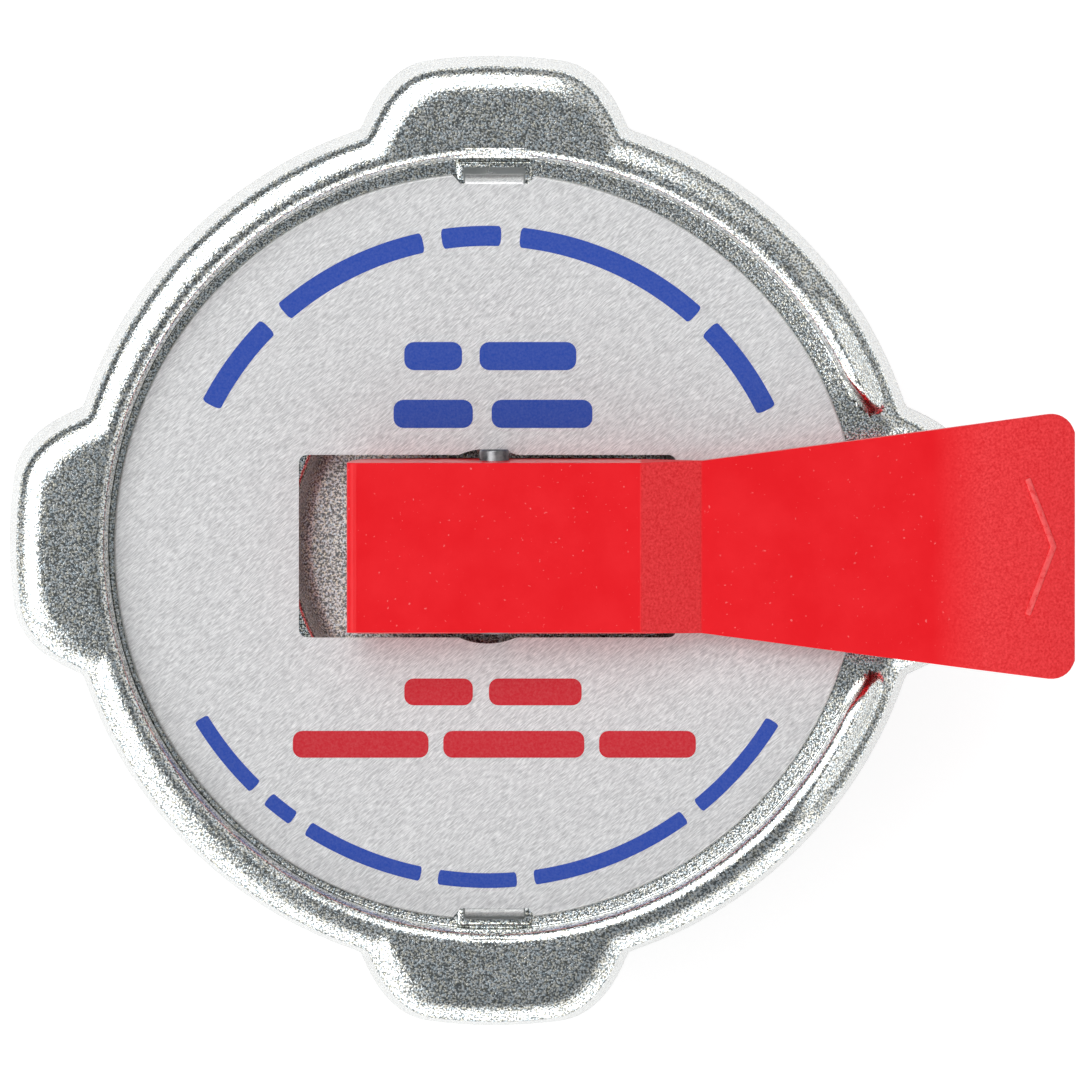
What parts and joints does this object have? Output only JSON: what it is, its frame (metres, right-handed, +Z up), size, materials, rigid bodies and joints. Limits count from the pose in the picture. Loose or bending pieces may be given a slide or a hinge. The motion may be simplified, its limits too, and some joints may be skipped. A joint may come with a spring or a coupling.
{
  "type": "radiator cap",
  "caption": "Lever-vent pressure cap for a radiator filler neck: lobed stamped shell, aluminium face plate, red cam lever, sprung pressure valve and small vacuum valve.",
  "frame": {"origin": "centre of the gasket ring that seats on the filler neck's lip", "axes": "+Z up out of the neck along the stem, +X towards the lever's tip, +Y across the lever"},
  "size_m": [0.0795, 0.0726, 0.0332],
  "materials": {
    "shell_steel": "bright zinc plate with a fine speckled grain",
    "plate_aluminium": "fine slanting brush lines under clear lacquer, printed in blue and red",
    "lever_plastic": "smooth moulded red, matt on the slope and the tip",
    "pin_steel": "turned steel",
    "stem_steel": "turned and zinc plated",
    "bush_brass": "turned brass",
    "diaphragm_steel": "spring steel",
    "bell_steel": "zinc plated sheet",
    "spring_steel": "drawn spring wire",
    "valve_brass": "stamped brass",
    "black_rubber": "moulded"
  },
  "bodies": {
    "shell": {"shell": "shell_steel", "name_plate": "plate_aluminium", "centre_bush": "bush_brass", "stem_seal": "black_rubber", "diaphragm": "diaphragm_steel", "neck_gasket": "black_rubber", "spring_bell": "bell_steel", "main_spring": "spring_steel"},
    "stem": {"stem": "stem_steel"},
    "lever": {"lever": "lever_plastic", "pivot_pin": "pin_steel"},
    "pressure_valve": {"lift_cage": "valve_brass", "valve_plate": "valve_brass", "pressure_gasket": "black_rubber", "gasket_retainer": "bell_steel", "vacuum_spring": "spring_steel"},
    "vacuum_valve": {"vacuum_valve": "valve_brass", "vacuum_seal": "black_rubber", "vacuum_clip": "pin_steel"}
  },
  "joints": [
    {"name": "stem_lift", "type": "slide", "parent": "shell", "child": "stem", "axis": [0, 0, 1], "range_m": [0, 0.0048], "stiffness_N_per_m": 600, "springref_m": -0.006, "deforming": ["main_spring"]},
    {"name": "lever_pivot", "type": "hinge", "parent": "stem", "child": "lever", "pos_m": [0, 0, 0.0086], "axis": [0, -1, 0], "range_deg": [0, 90]},
    {"name": "valve_lift", "type": "slide", "parent": "stem", "child": "pressure_valve", "axis": [0, 0, 1], "range_m": [0, 0.002], "stiffness_N_per_m": 600, "springref_m": -0.006, "deforming": ["main_spring"]},
    {"name": "vacuum_open", "type": "slide", "parent": "pressure_valve", "child": "vacuum_valve", "axis": [0, 0, -1], "range_m": [0, 0.0012], "stiffness_N_per_m": 40, "springref_m": -0.005, "deforming": ["vacuum_spring"]}
  ],
  "couplings": [
    {"joint": "lever_pivot", "follows": "stem_lift", "rad_per_m": 327.25}
  ]
}
